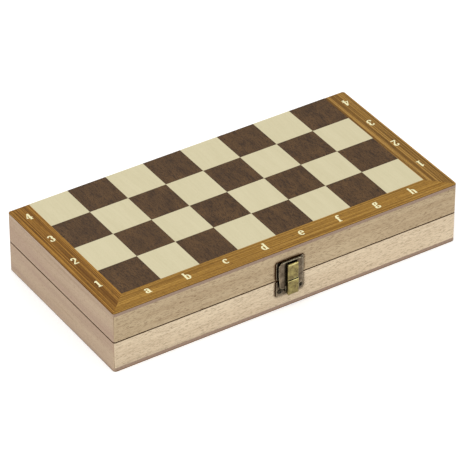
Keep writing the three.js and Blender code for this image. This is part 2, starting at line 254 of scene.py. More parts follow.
def woodMaterial(name, wood):
    nodes = Nodes(name)
    vector = nodes.add("ShaderNodeAttribute", attribute_name="grain").outputs["Vector"]
    across, along = wood["streakWidth"] * mm, wood["streakLength"] * mm
    broad = nodes.noise(vector, (1 / (2.5 * along), 0.17 / across, 0.17 / across), 3, 0.5, 0.3)
    streak = nodes.noise(vector, (1 / along, 1 / across, 1 / across), 5, 0.6, 0.15)
    fibre = nodes.noise(vector, (220, 5200, 5200), 3, 0.6)
    poreScale = 1 / (wood["poreWidth"] * mm)
    pore = nodes.noise(vector, (1 / (wood["poreLength"] * mm), poreScale, poreScale), 2, 0.5)
    broadPart = nodes.math("MULTIPLY", broad, wood["broadShare"])
    streakPart = nodes.math("MULTIPLY", streak, 1 - wood["broadShare"])
    figure = nodes.ramp(nodes.math("ADD", broadPart, streakPart), 0.38, 0.62)
    colour = nodes.mix(figure, wood["dark"], wood["light"])
    veins = nodes.math("MULTIPLY", nodes.ramp(streak, 0.52, 0.66), wood["veinAmount"])
    colour = nodes.mix(veins, colour, wood["vein"])
    lineScale = 1 / (wood["lineWidth"] * mm)
    lines = nodes.noise(vector, (0.4 / along, lineScale, lineScale), 3, 0.55, 0.05)
    bright = nodes.math("MULTIPLY", nodes.ramp(lines, 0.47, 0.57), wood["lineAmount"])
    colour = nodes.mix(bright, colour, wood["line"])
    pores = nodes.math("MULTIPLY", nodes.ramp(pore, 0.53, 0.66), wood["poreAmount"])
    colour = nodes.mix(pores, colour, wood["vein"])
    colour = nodes.mix(nodes.math("MULTIPLY", nodes.ramp(fibre, 0.35, 0.7), 0.12), colour, wood["dark"])
    # painted shade in gaps and corners, taken from the occlusion mask
    if wood["grime"] > 0:
        recess = recessMask(nodes, grime["reach"], grime["open"], grime["shut"])
        colour = nodes.mix(nodes.math("MULTIPLY", recess, wood["grime"]), colour, grime["colour"])
    if wood["edgeAmount"] > 0:
        # the veneer is darker where its face turns away from upright, on the rounded rim and the sides
        facing = nodes.add("ShaderNodeSeparateXYZ")
        nodes.link(nodes.add("ShaderNodeTexCoord").outputs["Normal"], facing.inputs["Vector"])
        tilted = nodes.ramp(nodes.math("ABSOLUTE", facing.outputs["Z"], 0), 0.8, 0.3)
        colour = nodes.mix(nodes.math("MULTIPLY", tilted, wood["edgeAmount"]), colour, wood["vein"])
    nodes.link(colour, nodes.shader.inputs["Base Color"])
    roughness = nodes.add("ShaderNodeMapRange")
    roughness.inputs["To Min"].default_value = wood["roughness"] - 0.06
    roughness.inputs["To Max"].default_value = wood["roughness"] + 0.08
    nodes.link(fibre, roughness.inputs["Value"])
    nodes.link(roughness.outputs["Result"], nodes.shader.inputs["Roughness"])
    height = nodes.math("SUBTRACT", fibre, nodes.math("MULTIPLY", pores, 0.8))
    nodes.bump(height, wood["bump"], 0.00012)
    nodes.shader.inputs["Coat Weight"].default_value = wood["coat"]
    nodes.shader.inputs["Coat Roughness"].default_value = wood["coatRoughness"]
    nodes.shader.inputs["Specular IOR Level"].default_value = wood["specular"]
    return nodes.material


def brassMaterial(name, brass):
    nodes = Nodes(name)
    coordinates = nodes.add("ShaderNodeTexCoord")
    vector = coordinates.outputs["Object"]
    cloud = nodes.noise(vector, (260, 260, 260), 4, 0.6)
    speck = nodes.noise(vector, (2400, 2400, 2400), 2, 0.5)
    brush = nodes.noise(vector, (9000, 700, 700), 3, 0.6)
    colour = nodes.mix(nodes.ramp(cloud, 0.35, 0.65), brass["dark"], brass["light"])
    tarnish = nodes.math("MULTIPLY", nodes.ramp(speck, 0.58, 0.75), brass["speckAmount"])
    colour = nodes.mix(tarnish, colour, brass["patina"])
    # darker in hollows: partly the real patina of old brass, partly painted shade on the channel sides and
    # in the screw slots
    recess = recessMask(nodes, brass["recess"], 0.94, 0.58)
    colour = nodes.mix(nodes.math("MULTIPLY", recess, brass["recessAmount"]), colour, brass["patina"])
    # bright rounded edges: partly real rubbed wear, partly a painted highlight where the edges catch the
    # light
    rounded = nodes.add("ShaderNodeBevel", samples=6)
    rounded.inputs["Radius"].default_value = brass["wornEdge"] * mm
    turned = nodes.add("ShaderNodeVectorMath", operation="DOT_PRODUCT")
    nodes.link(rounded.outputs["Normal"], turned.inputs[0])
    nodes.link(nodes.add("ShaderNodeNewGeometry").outputs["Normal"], turned.inputs[1])
    openEdge = nodes.math("SUBTRACT", nodes.ramp(turned.outputs["Value"], 0.995, 0.9), recess)
    wearAndHighlight = nodes.math("MULTIPLY", nodes.math("MAXIMUM", openEdge, 0), brass["wornAmount"])
    colour = nodes.mix(wearAndHighlight, colour, brass["bright"])
    nodes.link(colour, nodes.shader.inputs["Base Color"])
    nodes.shader.inputs["Metallic"].default_value = 1
    roughness = nodes.add("ShaderNodeMapRange")
    roughness.inputs["To Min"].default_value = brass["roughness"] - 0.08
    roughness.inputs["To Max"].default_value = brass["roughness"] + 0.12
    nodes.link(cloud, roughness.inputs["Value"])
    nodes.link(roughness.outputs["Result"], nodes.shader.inputs["Roughness"])
    nodes.bump(brush, 0.08, 0.00005)
    return nodes.material


def inkMaterial(name, colour):
    nodes = Nodes(name)
    vector = nodes.add("ShaderNodeTexCoord").outputs["Object"]
    grain = nodes.noise(vector, (900, 900, 900), 4, 0.6)
    base = nodes.mix(nodes.ramp(grain, 0.3, 0.75), colour, tuple(c * 0.86 for c in colour))
    nodes.link(base, nodes.shader.inputs["Base Color"])
    nodes.shader.inputs["Roughness"].default_value = 0.45
    nodes.bump(grain, 0.1, 0.00003)
    return nodes.material


def plywoodMaterial(name, ply):
    # end grain on the two long sides, long grain on the two short ones
    nodes = Nodes(name)
    coordinates = nodes.add("ShaderNodeTexCoord")
    vector = coordinates.outputs["Object"]
    parts = nodes.add("ShaderNodeSeparateXYZ")
    nodes.link(coordinates.outputs["Normal"], parts.inputs["Vector"])
    sideways = nodes.math("ABSOLUTE", parts.outputs["X"], 0)
    upward = nodes.math("ABSOLUTE", parts.outputs["Z"], 0)
    fine = nodes.noise(vector, (600, 600, 2500), 4, 0.6)
    layers = nodes.noise(vector, (25, 25, 1200), 4, 0.6)
    sheet = nodes.noise(vector, (14, 260, 260), 5, 0.6, 0.2)
    fibre = nodes.noise(vector, (200, 4200, 4200), 3, 0.6)
    end = nodes.mix(nodes.ramp(fine, 0.3, 0.7), ply["endDark"], ply["endLight"])
    side = nodes.mix(nodes.ramp(layers, 0.35, 0.65), ply["sideDark"], ply["sideLight"])
    edge = nodes.mix(nodes.ramp(sideways, 0.55, 0.85), end, side)
    face = nodes.mix(nodes.ramp(sheet, 0.38, 0.62), ply["faceDark"], ply["faceLight"])
    colour = nodes.mix(nodes.ramp(upward, 0.6, 0.9), edge, face)
    nodes.link(colour, nodes.shader.inputs["Base Color"])
    nodes.shader.inputs["Roughness"].default_value = 0.5
    nodes.shader.inputs["Specular IOR Level"].default_value = 0.2
    nodes.bump(nodes.math("ADD", fibre, nodes.math("MULTIPLY", fine, 0.4)), 0.2, 0.0001)
    return nodes.material


plainWood = {
    "vein": srgb(150, 118, 88), "veinAmount": 0, "poreAmount": 0.3, "poreWidth": 0.3, "poreLength": 2,
    "line": srgb(230, 200, 150), "lineAmount": 0, "lineWidth": 0.8, "streakWidth": 1.6, "streakLength": 45,
    "broadShare": 0.45, "grime": 0, "edgeAmount": 0, "bump": 0.18, "roughness": 0.42,
    "specular": 0.25, "coat": 0.12, "coatRoughness": 0.3,
}
beechWood = {
    "light": srgb(188, 168, 136), "dark": srgb(171, 149, 118), "vein": srgb(104, 78, 50),
    "poreAmount": 0.68, "poreWidth": 0.32, "poreLength": 2.8, "streakWidth": 2.2, "streakLength": 60,
    "roughness": 0.5, "specular": 0.08, "coat": 0, "grime": 1,
}
sideBorder = {
    "light": srgb(131, 88, 26), "dark": srgb(96, 57, 12), "vein": srgb(52, 27, 4), "broadShare": 0.12,
    "veinAmount": 0.9, "line": srgb(192, 141, 60), "lineAmount": 0.76, "lineWidth": 0.58,
    "poreAmount": 0.4, "poreLength": 5, "streakWidth": 0.55, "streakLength": 80, "edgeAmount": 0.75,
    "roughness": 0.42, "specular": 0.08, "coat": 0.02,
}
finishes = {
    "beechUpper": beechWood,
    "beechLower": {
        **beechWood, "light": srgb(219, 201, 172), "dark": srgb(202, 182, 153), "poreAmount": 0.56,
    },
    "beechSide": {
        **beechWood, "light": srgb(188, 167, 139), "dark": srgb(169, 143, 123), "vein": srgb(128, 96, 80),
        "veinAmount": 0.35, "poreAmount": 0.5, "streakWidth": 2.4, "streakLength": 90,
    },
    "walnut": {
        "light": srgb(108, 78, 44), "dark": srgb(60, 40, 21), "vein": srgb(36, 23, 10), "veinAmount": 0.6,
        "poreAmount": 0.8, "poreWidth": 0.6, "poreLength": 1.6, "streakWidth": 1.1, "streakLength": 6,
        "broadShare": 0.3, "specular": 0.12, "coat": 0.06,
    },
    "maple": {
        "light": srgb(213, 203, 166), "dark": srgb(207, 197, 159), "vein": srgb(186, 170, 128),
        "poreAmount": 0.2, "streakWidth": 1.8, "streakLength": 30,
    },
    "frontBorder": {
        "light": srgb(158, 116, 45), "dark": srgb(126, 87, 28), "vein": srgb(80, 50, 14), "broadShare": 0.3,
        "veinAmount": 0.8, "line": srgb(190, 146, 68), "lineAmount": 0.7, "lineWidth": 0.7,
        "poreAmount": 0.62, "poreLength": 4, "streakWidth": 0.8, "streakLength": 70, "edgeAmount": 0.75,
        "roughness": 0.42, "specular": 0.08, "coat": 0.02,
    },
    "leftBorder": sideBorder,
    "rightBorder": {
        **sideBorder, "light": srgb(138, 101, 41), "dark": srgb(103, 68, 23), "line": srgb(195, 150, 76),
    },
    "lightMan": {
        "light": srgb(222, 186, 128), "dark": srgb(198, 156, 98), "streakWidth": 1.2, "streakLength": 30,
        "roughness": 0.35, "coat": 0.5, "coatRoughness": 0.15,
    },
    "darkMan": {
        "light": srgb(98, 58, 34), "dark": srgb(66, 36, 20), "vein": srgb(40, 20, 10), "veinAmount": 0.5,
        "streakWidth": 1, "streakLength": 26, "roughness": 0.35, "coat": 0.5, "coatRoughness": 0.15,
    },
}
woods = {name: woodMaterial(name, {**plainWood, **wood}) for name, wood in finishes.items()}

plainBrass = {
    "speckAmount": 0.5, "recess": 7, "recessAmount": 0.97, "wornEdge": 0.2, "wornAmount": 0.5,
    "roughness": 0.3,
}
brassFinishes = {
    "oldBrass": {
        "light": srgb(157, 144, 91), "dark": srgb(102, 89, 59), "patina": srgb(40, 31, 10),
        "bright": srgb(240, 232, 176), "wornEdge": 0.4, "wornAmount": 0.85, "roughness": 0.28,
    },
    # its grey-pink tone is partly the brass's own, partly a painted reflection of the wood around it
    "greyBrass": {
        "light": srgb(136, 121, 101), "dark": srgb(88, 76, 62), "patina": srgb(20, 15, 7),
        "bright": srgb(226, 216, 180), "speckAmount": 0.6, "wornEdge": 0.4, "wornAmount": 0.85,
    },
    "screwBrass": {
        "light": srgb(74, 66, 52), "dark": srgb(38, 32, 24), "patina": srgb(8, 6, 3),
        "bright": srgb(150, 140, 112), "recess": 1.6, "recessAmount": 1,
        "wornEdge": 0.15, "wornAmount": 0.6, "roughness": 0.34,
    },
    # painted highlight: a brighter copy of the old brass, for the rolled lips that catch the light
    "brightBrass": {
        "light": srgb(226, 214, 150), "dark": srgb(186, 172, 110), "patina": srgb(60, 46, 18),
        "bright": srgb(248, 240, 190), "speckAmount": 0.25, "recess": 2, "recessAmount": 0.6,
        "roughness": 0.22,
    },
    # painted highlight: a paler copy of the grey brass, for the thin bright line along the crossbar
    "silverBrass": {
        "light": srgb(196, 188, 160), "dark": srgb(140, 130, 108), "patina": srgb(40, 32, 16),
        "bright": srgb(236, 230, 206), "speckAmount": 0.4, "recess": 2, "recessAmount": 0.8,
        "roughness": 0.26,
    },
    "rivetBrass": {
        "light": srgb(92, 82, 52), "dark": srgb(64, 54, 32), "patina": srgb(24, 18, 8),
        "bright": srgb(160, 148, 96), "recess": 3, "recessAmount": 0.9, "roughness": 0.4,
    },
    "hingeBrass": {
        "light": srgb(214, 184, 112), "dark": srgb(184, 152, 88), "patina": srgb(80, 58, 26),
        "bright": srgb(246, 230, 178), "speckAmount": 0.25, "recess": 1.5, "recessAmount": 0.6,
        "wornEdge": 0.15,
    },
}
brasses = {name: brassMaterial(name, {**plainBrass, **brass}) for name, brass in brassFinishes.items()}
letterInk = inkMaterial("letterInk", srgb(246, 238, 188))
plywood = plywoodMaterial("plywood", {
    "endDark": srgb(129, 106, 89), "endLight": srgb(160, 137, 118),
    "sideDark": srgb(158, 134, 112), "sideLight": srgb(182, 158, 132),
    "faceDark": srgb(196, 172, 134), "faceLight": srgb(212, 190, 154),
})
print("finishes made")


eased = {"arris": 0.5 * mm, "arrisSegments": 3, "cornerReach": 4 * mm, "cornerStep": 2 * mm}
halves = {"lower": "lower_half", "upper": "upper_half"}


def makeRail(half, side):
    # the sawn edges at the parting are eased; the glued edges stay crisp
    node = f"{half}_{side}_rail"
    low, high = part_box(node)
    parting = high.z if half == "lower" else low.z
    axis = "X" if side in ("front", "back") else "Y"
    along, across = (0, 1) if axis == "X" else (1, 0)

    def atParting(edge):
        # the straight runs and the small steps of the rounded corners, but not the hinge recesses
        ends = [v.co for v in edge.verts]
        if any(abs(end.z - parting) > touch for end in ends):
            return False
        straight = any(
            all(abs(end[across] - face[across]) < touch for end in ends) for face in (low, high)
        )
        fromEnd = max(min(end[along] - low[along], high[along] - end[along]) for end in ends)
        return straight or (fromEnd < eased["cornerReach"] and edge.calc_length() < eased["cornerStep"])

    bm = easedCopy(node, eased["arris"], eased["arrisSegments"], atParting, turn=60)
    mesh = finishMesh(bm, f"{node}_wood")
    setGrain(mesh, alongAxis(axis, boardOffset()))
    material = woods[f"beech{half.capitalize()}" if axis == "X" else "beechSide"]
    piece = makePiece(f"{node}_wood", mesh, material, halves[half], [node])
    weighNormals(piece)


for half in halves:
    for side in ("front", "back", "left", "right"):
        makeRail(half, side)
    panel = frame["nodes"][f"{half}_plywood_panel"]
    panel.data.materials.clear()
    panel.data.materials.append(plywood)
print("case made")


board = {
    "border": 18 * mm,
    "cornerRadius": 2 * mm,
    "rimEase": 0.3 * mm,
    "glueLine": 0.02 * mm,
    "letterSize": 8.2 * mm,
    "fileShift": (1.1, 1.7),  # the print sits a little off the middle of the border, in mm
    "leftRankShift": (1.0, 2.8),
    "rightRankShift": (1.5, 2.0),
    "letterLift": 0.02 * mm,
    "letterDepth": 0.1 * mm,
    "grainWander": 4,  # degrees
}
veneerLow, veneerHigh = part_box("upper_board_veneer")
boardLength = veneerHigh.x - veneerLow.x
boardDepth = veneerHigh.y - veneerLow.y
veneer = veneerHigh.z - veneerLow.z - board["letterLift"]
square = (boardLength - 2 * board["border"]) / 8


def facePlace(half):
    # board-face frame: x from file a, y away from the low ranks, z out of the face
    low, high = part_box(f"{half}_board_veneer")
    if half == "upper":
        return Matrix.Translation((low.x, low.y, high.z - board["letterLift"]))
    corner = Matrix.Translation((low.x, high.y, low.z + board["letterLift"]))
    return corner @ Matrix.Rotation(math.pi, 4, "X")


def arc(cx, cy, radius, start, end, steps=4):
    turns = [math.radians(start + (end - start) * i / steps) for i in range(steps + 1)]
    return [(cx + radius * math.cos(t), cy + radius * math.sin(t)) for t in turns]


def borderOutlines(half):
    b, r = board["border"], board["cornerRadius"]
    length, depth = boardLength, boardDepth
    outlines = {
        "front": [(b, b)] + arc(r, r, r, 225, 270) + arc(length - r, r, r, 270, 315) + [(length - b, b)],
        "left": [(b, b), (b, depth)] + arc(r, depth - r, r, 90, 180) + arc(r, r, r, 180, 225),
    }
    outlines["right"] = [(length - x, y) for x, y in reversed(outlines["left"])]
    if half == "lower":
        outlines = {k: [(x, depth - y) for x, y in reversed(v)] for k, v in outlines.items()}
    return outlines


def makeBorder(half):
    place = facePlace(half)
    for side, outline in borderOutlines(half).items():
        name = f"{half}_border_{side}"
        bm = bmesh.new()
        prism(bm, outline, -veneer, 0)
        rim = [
            e for e in bm.edges
            if all(abs(v.co.z) < 1e-9 for v in e.verts)
            and all(
                min(v.co.x, boardLength - v.co.x, v.co.y, boardDepth - v.co.y)
                < 0.8 * board["cornerRadius"] for v in e.verts
            )
        ]
        bmesh.ops.bevel(bm, geom=rim, offset=board["rimEase"], segments=3, profile=0.5, affect="EDGES")
        mesh = finishMesh(bm, name)
        setGrain(mesh, alongAxis("X" if side == "front" else "Y", boardOffset()))
        material = woods[f"{side}Border"]
        stands = [f"{half}_board_veneer"] if side == "front" else []
        piece = makePiece(name, mesh, material, halves[half], stands, place)
        weighNormals(piece)


def makeSquares(half, wood, slot, dark):
    place = facePlace(half)
    firstRank = 1 if half == "upper" else 5
    startY = board["border"] if half == "upper" else 0
    bm = bmesh.new()
    grain = {}
    inset = board["glueLine"]
    for column in range(8):
        for row in range(4):
            if ((column + 1 + firstRank + row) % 2 == 0) != dark:
                continue
            x = board["border"] + column * square
            y = startY + row * square
            corners = [(x + inset, y + inset), (x + square - inset, y + inset)]
            corners += [(x + square - inset, y + square - inset), (x + inset, y + square - inset)]
            bottom, top = prism(bm, corners, -veneer, 0)
            offset = boardOffset()
            wander = math.radians(random.uniform(-1, 1) * board["grainWander"])
            for v in bottom + top:
                turned = Matrix.Rotation(wander + math.pi / 2, 3, "Z") @ v.co
                grain[len(grain)] = turned + offset
    mesh = finishMesh(bm, f"{half}_{slot}_squares")
    setGrain(mesh, lambda vertex: grain[vertex.index])
    makePiece(f"{half}_{slot}_squares", mesh, woods[wood], halves[half], matrix=place)


# widths and middles as shares of the letter size
pen = {"thick": 0.185, "thin": 0.095, "serif": 0.085, "tallMiddle": 0.47, "lowMiddle": 0.33}


def stem(x, low, high, width=pen["thick"]):
    return [(x - width / 2, low), (x + width / 2, low), (x + width / 2, high), (x - width / 2, high)]


def bar(left, right, y, width=pen["serif"]):
    return [(left, y - width / 2), (right, y - width / 2), (right, y + width / 2), (left, y + width / 2)]


def slant(x0, y0, x1, y1, width=pen["thin"]):
    way = Vector((x1 - x0, y1 - y0)).normalized() * width / 2
    return [
        (x0 + way.y, y0 - way.x), (x1 + way.y, y1 - way.x),
        (x1 - way.y, y1 + way.x), (x0 - way.y, y0 + way.x),
    ]


def bowl(cx, cy, rx, ry, start, end, heavy=pen["thick"], light=pen["thin"]):
    steps = max(6, int(abs(end - start) / 15))
    outer, inner = [], []
    for i in range(steps + 1):
        t = math.radians(start + (end - start) * i / steps)
        half = (light + (heavy - light) * abs(math.cos(t)) ** 1.5) / 2
        outer.append((cx + (rx + half) * math.cos(t), cy + (ry + half) * math.sin(t)))
        inner.append((cx + (rx - half) * math.cos(t), cy + (ry - half) * math.sin(t)))
    return outer + inner[::-1]


def ball(cx, cy, radius):
    return [
        (cx + radius * math.cos(math.pi * i / 6), cy + radius * math.sin(math.pi * i / 6))
        for i in range(12)
    ]


def ring(cx, cy, rx, ry):
    return [bowl(cx, cy, rx, ry, -95, 95), bowl(cx, cy, rx, ry, 85, 275)]


characters = {
    "a": [
        bowl(0.25, 0.5, 0.16, 0.14, 0, 150), ball(0.13, 0.54, 0.075), stem(0.42, 0.08, 0.5),
        *ring(0.25, 0.2, 0.15, 0.15), slant(0.4, 0.07, 0.56, 0.04),
    ],
    "b": [stem(0.14, 0.02, 0.98), bar(0.02, 0.2, 0.94), *ring(0.33, 0.33, 0.18, 0.29)],
    "c": [bowl(0.3, 0.33, 0.2, 0.3, 45, 315), ball(0.43, 0.5, 0.085)],
    "d": [
        stem(0.46, 0.02, 0.98), bar(0.32, 0.52, 0.94), bar(0.44, 0.6, 0.04),
        *ring(0.27, 0.33, 0.18, 0.29),
    ],
    "e": [bowl(0.3, 0.33, 0.2, 0.3, 0, 318), bar(0.12, 0.56, 0.35)],
    "f": [
        stem(0.2, 0.04, 0.78), bowl(0.36, 0.78, 0.16, 0.16, 60, 180), ball(0.44, 0.88, 0.08),
        bar(0.04, 0.42, 0.62), bar(0.06, 0.38, 0.04),
    ],
    "g": [
        *ring(0.27, 0.45, 0.16, 0.18), slant(0.38, 0.58, 0.54, 0.64, 0.09),
        bowl(0.3, 0.19, 0.17, 0.08, 120, 230), *ring(0.29, -0.09, 0.2, 0.14),
    ],
    "h": [
        stem(0.13, 0.04, 0.98), bar(0.01, 0.19, 0.94), bar(0.01, 0.26, 0.04),
        bowl(0.3, 0.42, 0.18, 0.2, 0, 160), stem(0.48, 0.04, 0.43), bar(0.36, 0.6, 0.04),
    ],
    "1": [stem(0.27, 0.04, 0.94), slant(0.28, 0.9, 0.08, 0.74, 0.1), bar(0.07, 0.47, 0.04)],
    "2": [
        bowl(0.28, 0.68, 0.18, 0.21, -35, 165), ball(0.13, 0.7, 0.08),
        slant(0.44, 0.58, 0.1, 0.1, 0.12), bar(0.05, 0.54, 0.07, 0.13),
    ],
    "3": [
        bowl(0.26, 0.7, 0.17, 0.19, -85, 150), bowl(0.26, 0.28, 0.2, 0.24, -150, 85),
        ball(0.12, 0.76, 0.08), ball(0.11, 0.2, 0.09),
    ],
    "4": [
        slant(0.38, 0.93, 0.06, 0.3, 0.09), bar(0.02, 0.6, 0.29, 0.09), stem(0.4, 0.04, 0.93),
        bar(0.26, 0.54, 0.04),
    ],
    "5": [
        bar(0.12, 0.5, 0.87, 0.13), slant(0.14, 0.9, 0.11, 0.48, 0.07),
        bowl(0.27, 0.3, 0.2, 0.25, -150, 130), ball(0.12, 0.2, 0.09),
    ],
    "6": [*ring(0.3, 0.29, 0.19, 0.25), bowl(0.42, 0.42, 0.31, 0.48, 95, 190), ball(0.45, 0.84, 0.075)],
    "7": [
        bar(0.06, 0.54, 0.87, 0.13), slant(0.49, 0.86, 0.24, 0.02, 0.15),
        slant(0.08, 0.9, 0.07, 0.68, 0.06),
    ],
    "8": [*ring(0.28, 0.7, 0.15, 0.18), *ring(0.28, 0.26, 0.19, 0.23)],
}


def characterMesh(bm, character, place):
    points, faces = [], []
    for outline in characters[character]:
        faces.append(list(range(len(points), len(points) + len(outline))))
        points += [Vector(p) for p in outline]
    verts, _, triangles, _, _, sources = delaunay_2d_cdt(points, [], faces, 1, 1e-4)
    kept = [t for t, source in zip(triangles, sources) if source]
    used = sorted({i for t in kept for i in t})
    xs = [verts[i].x for i in used]
    tall = max(verts[i].y for i in used) > 0.8
    middle = Vector(((min(xs) + max(xs)) / 2, pen["tallMiddle" if tall else "lowMiddle"]))
    size = board["letterSize"]
    made = {}
    for i in used:
        flat = (verts[i] - middle) * size
        made[i] = bm.verts.new(place @ Vector((flat.x, flat.y, board["letterLift"])))
    for t in kept:
        bm.faces.new([made[i] for i in t])


def makeLettering(half):
    bm = bmesh.new()
    b = board["border"]
    firstRank = 1 if half == "upper" else 5
    startY = b if half == "upper" else 0
    letterY = b / 2 if half == "upper" else boardDepth - b / 2
    upright = Matrix.Identity(4)
    turned = Matrix.Rotation(math.pi, 4, "Z")
    spots = []
    for column, letter in enumerate("abcdefgh"):
        x = b + (column + 0.5) * square
        spots.append((letter, x, letterY, "fileShift", upright if half == "upper" else turned))
    for row in range(4):
        y = startY + (row + 0.5) * square
        digit = str(firstRank + row)
        spots.append((digit, b / 2, y, "leftRankShift", upright))
        spots.append((digit, boardLength - b / 2, y, "rightRankShift", turned))
    for character, x, y, shift, way in spots:
        right, up = board[shift]
        characterMesh(bm, character, Matrix.Translation((x + right * mm, y + up * mm, 0)) @ way)
    bmesh.ops.dissolve_limit(bm, angle_limit=math.radians(1), verts=bm.verts, edges=bm.edges)
    made = bmesh.ops.extrude_face_region(bm, geom=bm.faces[:])
    lowered = [v for v in made["geom"] if isinstance(v, bmesh.types.BMVert)]
    bmesh.ops.translate(bm, verts=lowered, vec=(0, 0, -board["letterDepth"]))
    mesh = finishMesh(bm, f"{half}_lettering")
    makePiece(f"{half}_lettering", mesh, letterInk, halves[half], matrix=facePlace(half))


for half in halves:
    makeBorder(half)
    makeSquares(half, "walnut", "walnut_veneer", True)
    makeSquares(half, "maple", "maple_veneer", False)
    makeLettering(half)
print("board faces made")


metal = {
    "hingeEdge": 0.12 * mm,
    "pressedEdge": 0.16 * mm,
    "screwEdge": 0.08 * mm,
    "channelCorner": 0.55 * mm,  # upright corners of the lever and the hood
    "hoodLip": 0.65 * mm,
    "hoodGap": 0.65 * mm,
    "hoodTopFrom": 20 * mm,  # above the strap's lower end
    "splitReach": 0.8 * mm,
    "lipInset": 0.35 * mm,
    "legCrown": 0.6 * mm,  # how far the strap's long edges are pressed back
    "barCrown": 0.5 * mm,
    "barHeight": 1.2 * mm,
    "legStart": 0.74,  # as a share of the strap's half width
    "hoodDepth": 2.4 * mm,
    "fingerEdge": 0.25 * mm,
}
hingeParts = [
    f"{side}_hinge_{part}" for side in ("left", "right") for part in ("lower_leaf", "upper_leaf", "pin")
]
screws = [f"{plate}_screw_{side}" for plate in ("base", "strike") for side in ("left", "right")]
rivets = ["catch_lever_pin", "catch_strap_pin"]


def metalPiece(bm, node, brass):
    mesh = finishMesh(bm, f"{node}_metal", 40)
    body = frame["nodes"][node]["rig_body"]
    piece = makePiece(f"{node}_metal", mesh, brasses[brass], body, [node])
    weighNormals(piece)
    return piece


def easedPiece(node, brass, radius, segments=3):
    metalPiece(easedCopy(node, radius, segments), node, brass)


def roundEdges(bm, radius, segments, wanted):
    edges = [
        e for e in bm.edges
        if len(e.link_faces) == 2 and e.calc_face_angle(0) > math.radians(50)
        and wanted((e.verts[0].co + e.verts[1].co) / 2, (e.verts[1].co - e.verts[0].co).normalized())
    ]
    bmesh.ops.bevel(bm, geom=edges, offset=radius, segments=segments, profile=0.5, affect="EDGES")


def frontEdges(front, axis, place):
    # edges of a front face that run along one axis and whose middle passes a test
    return lambda middle, way: abs(way[axis]) > 0.99 and middle.y < front + touch and place(middle)


def makeLever():
    node = "catch_lever"
    low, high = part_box(node)
    bm = easedCopy(node, 0, 0)
    corners = frontEdges(low.y, 2, lambda p: abs(p.x) > high.x - touch)
    lowerLip = frontEdges(low.y, 0, lambda p: p.z < low.z + touch)
    roundEdges(bm, metal["channelCorner"], 4, corners)
    roundEdges(bm, metal["fingerEdge"], 3, lowerLip)
    metalPiece(bm, node, "oldBrass")


def makeLip(name, body, low, high, radius, brass):
    # a rolled edge along x, between two points on its middle line
    bm = bmesh.new()
    count = 16
    rings = []
    ends = [(low.x, 0.55), (low.x + 0.25 * mm, 0.9), (low.x + 0.6 * mm, 1)]
    ends += [(high.x - (x - low.x), r) for x, r in reversed(ends)]
    for x, share in ends:
        turns = [2 * math.pi * i / count for i in range(count)]
        reach = radius * share
        ring = [(x, low.y + reach * math.cos(t), low.z + reach * math.sin(t)) for t in turns]
        rings.append([bm.verts.new(p) for p in ring])
    for near, far in zip(rings, rings[1:]):
        for i in range(count):
            j = (i + 1) % count
            bm.faces.new((near[i], near[j], far[j], far[i]))
    bm.faces.new(rings[0])
    bm.faces.new(rings[-1])
    mesh = finishMesh(bm, name, 60)
    makePiece(name, mesh, brasses[brass], body)


def makeStrap():
    node = "catch_strap"
    low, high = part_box(node)
    bm = easedCopy(node, 0, 0)
    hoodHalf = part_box("catch_lever")[1].x  # the hood is as wide as the lever
    corners = frontEdges(low.y, 2, lambda p: abs(p.x) > hoodHalf - touch)
    hoodTop = frontEdges(low.y, 0, lambda p: p.z > low.z + metal["hoodTopFrom"])
    # the hood stops a little short of the lever
    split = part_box("catch_lever")[1].z
    for v in bm.verts:
        onHood = abs(v.co.x) < hoodHalf + touch and v.co.y < low.y + metal["hoodDepth"]
        if onHood and abs(v.co.z - split) < metal["splitReach"]:
            v.co.z += metal["hoodGap"]
    roundEdges(bm, metal["hoodLip"], 5, hoodTop)
    roundEdges(bm, metal["channelCorner"], 4, corners)
    # cut across the legs and the crossbar, so that they can be pressed to a curve
    legMiddle = metal["legStart"] * high.x
    barLow = high.z - metal["barHeight"]
    cuts = []
    for t in (0.0, 0.25, 0.45, 0.65, 0.85):
        x = legMiddle + (high.x - legMiddle) * t
        cuts += [((-x, 0, 0), (1, 0, 0)), ((x, 0, 0), (1, 0, 0))]
    cuts += [((0, 0, barLow + metal["barHeight"] * t), (0, 0, 1)) for t in (0.0, 0.3, 0.55, 0.8)]
    for point, way in cuts:
        geometry = bm.verts[:] + bm.edges[:] + bm.faces[:]
        bmesh.ops.bisect_plane(bm, geom=geometry, dist=1e-7, plane_co=point, plane_no=way)
    for v in bm.verts:
        leg = max(0, (abs(v.co.x) - legMiddle) / (high.x - legMiddle))
        bar = max(0, (v.co.z - barLow) / (high.z - barLow))
        v.co.y += metal["legCrown"] * leg ** 2 + metal["barCrown"] * bar ** 2
    # the legs and crossbar take the grey brass, partly a painted reflection of the wood, and the hood takes
    # the old brass
    piece = metalPiece(bm, node, "greyBrass")
    piece.data.materials.append(brasses["oldBrass"])
    for polygon in piece.data.polygons:
        middle = polygon.center
        onHood = abs(middle.x) < hoodHalf + touch and middle.y < low.y + metal["hoodDepth"]
        polygon.material_index = 1 if onHood else 0


for node in hingeParts:
    easedPiece(node, "hingeBrass", metal["hingeEdge"])
for node in ("catch_base_plate", "catch_strike_plate"):
    easedPiece(node, "greyBrass", metal["pressedEdge"])
for node in screws:
    easedPiece(node, "screwBrass", metal["screwEdge"], 2)
for node in rivets:
    easedPiece(node, "rivetBrass", metal["screwEdge"], 2)
makeLever()
makeStrap()
leverLow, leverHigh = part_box("catch_lever")
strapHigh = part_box("catch_strap")[1]
channelHalf = leverHigh.x - metal["lipInset"]
